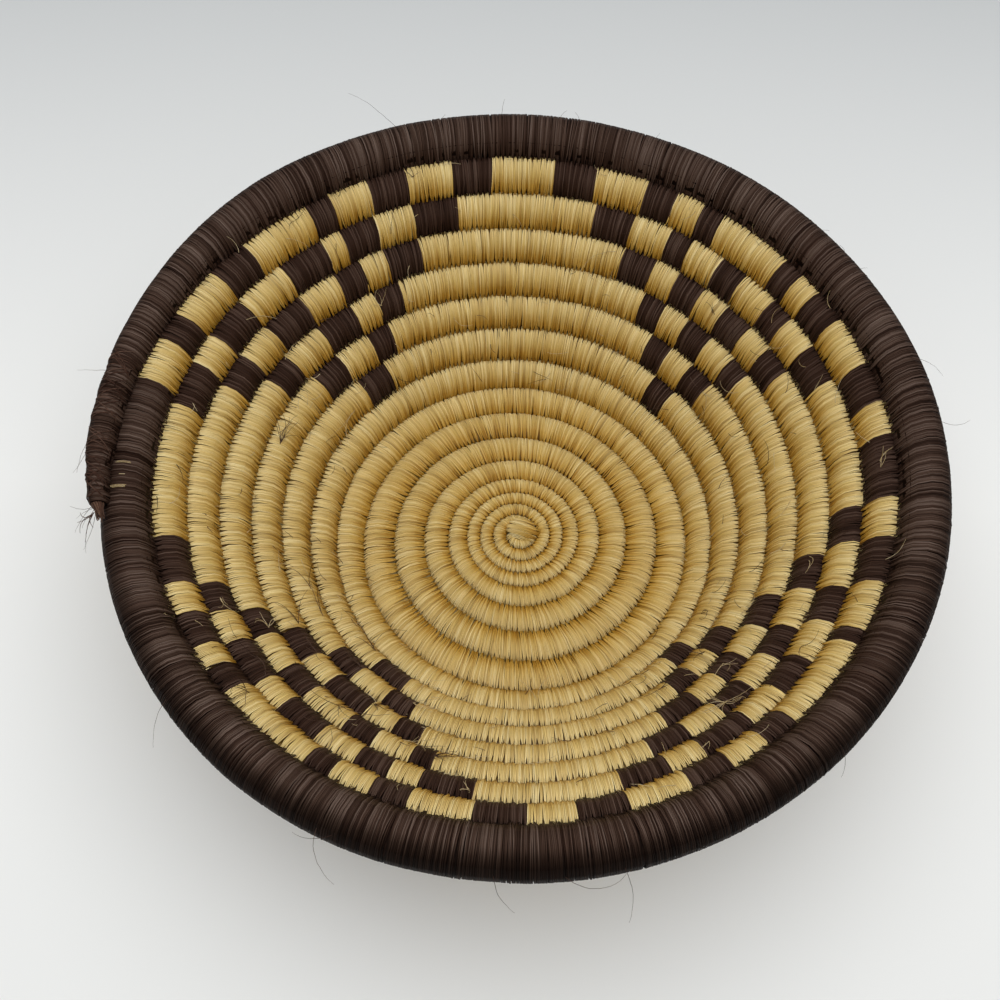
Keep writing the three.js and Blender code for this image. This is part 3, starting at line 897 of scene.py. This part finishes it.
# Loose fibres: stray hairs on the rim and the wall, strands at the rim's end, and pale flecks in the rim
loose = {
    "thick": 0.075, "pointed": 0.4, "steps": 14, "sides": 4, "seed": 23, "tones": (0.4, 1.0),
    "shake": 0.12, "rise": 0.3, "wallThick": 0.1, "wallCurl": 110, "wallAside": 0.6,
    "rimRoot": 0.97, "wallRoot": 0.99,  # how deep in the stitches a hair is rooted
    # on the rim: azimuth, angle round the coil, length, heading, climb and curl, in degrees and millimetres
    "rim": [
        (110, 60, 24, 130, 20, 40), (104, 60, 6, 95, 30, -60), (94, 60, 9, 100, 35, -30),
        (84, 60, 8, 150, 20, -140), (82, 60, 7, 60, 25, 90), (70.5, 60, 9, 60, 25, 260),
        (69, 60, 6, 110, 30, -80), (40, 50, 6, 45, 20, -90), (37, 50, 8, 70, 25, 120),
        (34, 50, 7, 20, 20, 160), (31, 50, 6, 50, 10, -60), (15, 40, 13, 350, 5, -70),
        (5, 30, 15, 330, -10, 80), (222, 0, 14, 235, -25, 40), (247, -10, 16, 260, -20, 70),
        (249, -10, 12, 200, -20, -60), (268, -20, 12, 280, -30, 60), (276, -20, 22, 330, -25, 90),
        (283, -20, 14, 300, -20, -50), (313, 10, 9, 300, -10, -60), (192.6, 30, 10, 225, -15, 30),
        (193, 30, 8, 200, -10, -50), (193.4, 20, 13, 250, -20, 30), (193.8, 40, 7, 215, 5, 70),
        (194.2, 30, 11, 262, -25, -20), (193.2, 10, 6, 190, -20, 40), (183, 10, 11, 245, -10, 30),
        (184.5, 0, 8, 250, -20, -20), (172, 0, 9, 178, 0, 10),
    ],
    # at the rim's tip, the same and stouter
    "tip": [
        (194.1, 10, 7.5, 196, -10, 100), (193.9, 20, 6, 226, -20, -40), (194.2, 0, 5.5, 212, -15, -110),
        (193.5, 30, 4, 150, 15, -60), (194.2, -10, 8, 244, -25, 30), (193.8, 0, 5, 238, -10, 90),
    ],
    "tipThick": 0.15,
    # on the wall: azimuth, row, angle round the coil, count, heading and spread, shortest and longest,
    # dark or pale
    "wall": [
        (310.5, 4, 70, 11, 0, 180, 5, 12, "pale"), (263, 5, 60, 5, 0, 180, 2, 4, "pale"),
        (256, 4, 80, 7, 20, 90, 4, 9, "dark"), (167, 3, 70, 8, 170, 25, 8, 15, "dark"),
        (207, 5, 80, 2, 60, 90, 7, 10, "pale"), (249, 4, 120, 2, 5, 10, 10, 14, "pale"),
        (146, 2, 110, 2, 5, 8, 14, 20, "pale"), (70, 5, 60, 1, -15, 5, 20, 22, "pale"),
        (230, 2, 90, 6, 180, 60, 5, 10, "dark"), (222, 3, 90, 5, 120, 60, 4, 9, "dark"),
        (240, 3, 90, 6, 30, 80, 4, 10, "dark"), (396, 2, 80, 5, 200, 50, 5, 9, "pale"),
        (406, 4, 90, 3, 30, 50, 4, 8, "dark"), (485, 3, 90, 4, 90, 60, 4, 9, "pale"),
        (492, 6, 60, 3, 90, 90, 3, 8, "dark"), (470, 6, 70, 4, 90, 90, 3, 7, "dark"),
        (302, 5, 70, 3, 150, 60, 4, 8, "pale"), (345, 4, 80, 2, 110, 40, 5, 8, "pale"),
        (360, 6, 80, 4, 60, 40, 4, 7, "pale"), (320, 2, 80, 4, 200, 60, 4, 8, "dark"),
        (214, 4, 90, 5, 0, 180, 4, 8, "pale"), (212, 2, 100, 2, 200, 40, 12, 18, "dark"),
        (226, 1, 100, 4, 190, 60, 10, 20, "dark"), (236, 4, 100, 4, 40, 60, 10, 17, "dark"),
        (226, 6, 90, 4, 100, 80, 8, 15, "dark"), (214, 3, 100, 3, 150, 50, 10, 18, "dark"),
        (220, 5, 95, 3, 60, 70, 9, 16, "dark"), (204, 2, 100, 2, 170, 30, 12, 18, "dark"),
        (246, 2, 90, 4, 20, 90, 6, 12, "pale"), (318, 3, 90, 4, 120, 80, 5, 11, "pale"),
        (332, 1, 90, 3, 60, 60, 5, 10, "dark"), (306, 2, 90, 4, 90, 90, 5, 11, "dark"),
        (326, 5, 90, 2, 130, 40, 8, 13, "dark"), (348, 3, 80, 1, 120, 20, 14, 16, "dark"),
    ],
    # and sprinkled all over: how many, how long, between which turns and angles round the coil
    "sprinkled": {"dark": 110, "pale": 130}, "long": (2, 10), "turns": (8.5, 15.4), "round": (35, 130),
    # pale flecks: turn, where each starts and ends round the coil in degrees, how many side by side
    "flecks": [
        (15.5145, 14, 74, 2), (15.5205, 26, 62, 1), (15.5255, 16, 78, 3), (15.585, 96, 118, 2),
        (15.03, 150, 175, 3), (15.073, 150, 170, 2), (16.32, 150, 172, 3), (15.19, 150, 172, 2),
        (15.22, 152, 172, 1),
    ],
    "fleckStep": 0.34, "fleckThick": 0.1, "fleckSpread": 20, "fleckBends": 6,
    # single flecks near the rim's end: turns, and where they start and end round the coil
    "ticks": {"turns": (16.39, 16.49), "start": (142, 150), "end": (172, 182), "count": 14},
    # strands wound loosely over the rim's end: turns, angles round the coil, how many, and how thick
    "windings": {
        "from": 16.465, "to": 16.532, "run": 9, "start": (-70, 0), "end": (90, 160), "count": 44,
        "thick": 0.19, "pointed": 0.4, "lift": 0.02,
    },
}


def strayRun(root, direction, about, long, curl, draw, stout=loose["thick"]):
    bend = Matrix.Rotation(math.radians(curl) / loose["steps"], 3, about)
    spot, places = root.copy(), []
    for step in range(loose["steps"] + 1):
        thick = stout * (1 - (1 - loose["pointed"]) * step / loose["steps"])
        places.append({"centre": spot.copy(), "wide": thick * mm})
        shake = Vector([draw.uniform(-1, 1) for number in range(3)]) * loose["shake"]
        spot = spot + (direction + shake).normalized() * long / loose["steps"] * mm
        spot.z = max(spot.z, stout * mm)
        direction = bend @ direction
    return places


def rimStray(azimuth, angle, long, heading, climb, curl, draw, stout=loose["thick"]):
    share, last = azimuth / fullTurn, math.floor(coil["lastTurn"])
    turn = share + (last if share + last < coil["lastTurn"] else last - 1)
    heading, climb = math.radians(heading), math.radians(climb)
    level = Vector((math.cos(heading), math.sin(heading), 0)) * math.cos(climb)
    root = onCoil(turn, math.radians(angle), loose["rimRoot"])
    return strayRun(root, level + up * math.sin(climb), up, long, curl, draw, stout)


def wallStray(turn, angle, heading, long, draw):
    place = coilPlace(turn)
    along = place["normal"].cross(place["across"])
    heading = math.radians(heading)
    outward = (onCoil(turn, angle, 2) - onCoil(turn, angle)).normalized()
    direction = along * math.cos(heading) + place["across"] * math.sin(heading) + outward * loose["rise"]
    curl = draw.uniform(-1, 1) * loose["wallCurl"]
    root, thick = onCoil(turn, angle, loose["wallRoot"]), loose["wallThick"]
    return strayRun(root, direction.normalized(), place["normal"], long, curl, draw, thick)


def fleckRuns(turn, start, end, count, draw):
    runs, spread, bends = [], loose["fleckSpread"], loose["fleckBends"]
    for i in range(count):
        here = turn + turnShare(i * loose["fleckStep"], turn)
        first, last = start + draw.uniform(0, spread), end - draw.uniform(0, spread)
        angles = [math.radians(first + (last - first) * step / bends) for step in range(bends + 1)]
        wide = loose["fleckThick"] * mm
        runs.append([{"centre": onCoil(here, angle), "wide": wide} for angle in angles])
    return runs


def windingRun(draw):
    wound = loose["windings"]
    turn = draw.uniform(wound["from"], wound["to"])
    shift = turnShare(draw.uniform(-1, 1) * wound["run"], turn)
    start, end = draw.uniform(*wound["start"]), draw.uniform(*wound["end"])
    places, steps = [], loose["steps"]
    for step in range(steps + 1):
        share = step / steps
        bow = math.sin(math.pi * share)
        here = min(turn + shift * (share - 0.5), wound["to"])
        spot = onCoil(here, math.radians(start + (end - start) * share), 1 + wound["lift"] * bow)
        thick = wound["thick"] * mm * (wound["pointed"] + (1 - wound["pointed"]) * bow)
        places.append({"centre": spot, "wide": thick})
    return places


def looseRuns():
    draw = random.Random(loose["seed"])
    runs = {"dark": [rimStray(*stray, draw) for stray in loose["rim"]], "pale": []}
    for azimuth, row, angle, count, heading, spread, short, long, shade in loose["wall"]:
        for i in range(count):
            aside = draw.uniform(-loose["wallAside"], loose["wallAside"])
            turn = rows["firstRow"] + row - 1 + (azimuth + aside) / fullTurn
            way = heading + draw.uniform(-spread, spread)
            runs[shade].append(wallStray(turn, math.radians(angle), way, draw.uniform(short, long), draw))
    for shade, count in loose["sprinkled"].items():
        for i in range(count):
            turn = draw.uniform(*loose["turns"])
            angle = math.radians(draw.uniform(*loose["round"]))
            way, long = draw.uniform(0, fullTurn), draw.uniform(*loose["long"])
            runs[shade].append(wallStray(turn, angle, way, long, draw))
    runs["frayed"] = [windingRun(draw) for i in range(loose["windings"]["count"])]
    runs["frayed"] += [rimStray(*strand, draw, loose["tipThick"]) for strand in loose["tip"]]
    for fleck in loose["flecks"]:
        runs["pale"] += fleckRuns(*fleck, draw)
    ticks = loose["ticks"]
    for i in range(ticks["count"]):
        turn, start, end = [draw.uniform(*ticks[what]) for what in ("turns", "start", "end")]
        runs["pale"] += fleckRuns(turn, start, end, 1, draw)
    return runs


looseFinishes = {
    "dark": (looseBrown, "brown_raffia"), "pale": (looseNatural, "natural_raffia"),
    "frayed": (frayedBrown, "brown_raffia"),
}
for shade, runs in looseRuns().items():
    finish, slot = looseFinishes[shade]
    piece = tubePiece(f"loose_fibres_{shade}", runs, finish, loose["sides"], loose["seed"], loose["tones"])
    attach(piece, "root")
print("basket: loose fibres made")

for shapes in (innerShapes, wallShapes, rimShapes):
    for shape in list(shapes.objects):
        bpy.data.objects.remove(shape)
    bpy.data.collections.remove(shapes)


# Floor, light and camera
studio = {
    # painted light: the floor is palest a little behind the object and darker in front and far back
    "floorSize": 24, "floorDrop": 0.2, "floorNear": (0.775, 0.785, 0.775),
    "floorColour": (0.85, 0.86, 0.85), "floorFar": (0.52, 0.537, 0.542),
    "floorPaintedLight": (-0.3, 0.02, 0.3),  # painted light: near, palest and far, in metres
    "floorRough": 0.6, "floorShine": 0.2,
    # the room is brighter overhead and at the sides, and dimmer in front
    "horizon": 0.48, "zenith": 0.6, "front": 0.14, "sides": 0.26, "backdrop": 0.8,
    "farFloor": (0.38, 0.8),  # where the floor runs out into the backdrop, in metres
    "lamps": [((0.06, 0.03, 1.2), 1.5, 10.5)],  # place and size in metres, power in watts
}
camera = {
    "lens": 42.05, "sensor": 36, "place": (-7.96, -185.42, 380.32),  # millimetres from the spiral's axis
    "turn": (28.15, -0.96, 1.51), "clip": 10,
}


def seenRay(tree):  # 1 where the camera, a mirror or glass looks
    ray = tree.nodes.new("ShaderNodeLightPath").outputs
    mirrored = maths(tree, "MAXIMUM", ray["Is Glossy Ray"], ray["Is Transmission Ray"])
    return maths(tree, "MAXIMUM", ray["Is Camera Ray"], mirrored)


def floorFinish():
    material, tree, shader = shaderTree("pale_floor")
    place = splitUp(tree, tree.nodes.new("ShaderNodeTexCoord").outputs["Object"])
    # painted light: the floor's colour is palest behind the object and darker nearer and further
    near, middle, far = studio["floorPaintedLight"]
    back = mapRange(tree, place[1], From_Min=near, From_Max=far)
    palest = ((middle - near) / (far - near), studio["floorColour"])
    colour = colourRamp(tree, back, [(0, studio["floorNear"]), palest, (1, studio["floorFar"])])
    plug(tree, colour, shader.inputs["Base Color"])
    shader.inputs["Roughness"].default_value = studio["floorRough"]
    shader.inputs["Specular IOR Level"].default_value = studio["floorShine"]
    glow = addNode(tree, "ShaderNodeEmission", Strength=studio["backdrop"])
    near, far = studio["farFloor"]
    squares = [maths(tree, "POWER", place[i], 2.0) for i in (0, 1)]
    away = maths(tree, "POWER", maths(tree, "ADD", *squares), 0.5)
    outer = mapRange(tree, away, {"interpolation_type": "SMOOTHSTEP"}, From_Min=near, From_Max=far)
    mix = tree.nodes.new("ShaderNodeMixShader")
    plug(tree, maths(tree, "MULTIPLY", outer, seenRay(tree)), mix.inputs[0])
    plug(tree, shader.outputs[0], mix.inputs[1])
    plug(tree, result(glow), mix.inputs[2])
    plug(tree, mix.outputs[0], next(n for n in tree.nodes if n.type == "OUTPUT_MATERIAL").inputs["Surface"])
    return material


def makeStudio():
    half = studio["floorSize"] / 2
    mesh = bpy.data.meshes.new("floor")
    corners = [(-half, -half), (half, -half), (half, half), (-half, half)]
    level = cadBox[0].z - studio["floorDrop"] * mm
    mesh.from_pydata([(x, y, level) for x, y in corners], [], [(0, 1, 2, 3)])
    mesh.materials.append(floorFinish())
    floor = addObject("floor", mesh)
    world = bpy.data.worlds.new("studio")
    world.use_nodes = True
    tree = world.node_tree
    backdrop = next(n for n in tree.nodes if n.type == "BACKGROUND")
    backdrop.inputs["Color"].default_value = (1, 1, 1, 1)
    x, y, z = splitUp(tree, tree.nodes.new("ShaderNodeTexCoord").outputs["Generated"])
    overhead = mapRange(tree, z, To_Min=studio["horizon"], To_Max=studio["zenith"])
    front = mapRange(tree, y, From_Min=-1.0, To_Min=studio["front"], To_Max=0.0)
    sides = maths(tree, "MULTIPLY", maths(tree, "ABSOLUTE", x), studio["sides"])
    around = maths(tree, "ADD", maths(tree, "SUBTRACT", overhead, front), sides)
    lighter = maths(tree, "SUBTRACT", studio["backdrop"], around)
    plug(tree, maths(tree, "MULTIPLY_ADD", seenRay(tree), lighter, around), backdrop.inputs["Strength"])
    bpy.context.scene.world = world
    for number, (place, size, power) in enumerate(studio["lamps"], 1):
        lamp = bpy.data.lights.new(f"lamp_{number}", "AREA")
        lamp.size = size
        lamp.energy = power
        holder = addObject(lamp.name, lamp)
        holder.location = place
        holder.rotation_euler = (-Vector(place)).to_track_quat("-Z", "Y").to_euler()


def makeCamera():
    lens = bpy.data.cameras.new("camera")
    lens.lens = camera["lens"]
    lens.sensor_width = camera["sensor"]
    lens.clip_start = camera["clip"] * mm
    holder = addObject("camera", lens)
    holder.location = axis + Vector(camera["place"]) * mm
    holder.rotation_euler = [math.radians(a) for a in camera["turn"]]
    bpy.context.scene.camera = holder


makeStudio()
makeCamera()
bpy.context.scene.view_settings.view_transform = "Standard"
print("basket: studio and camera set")
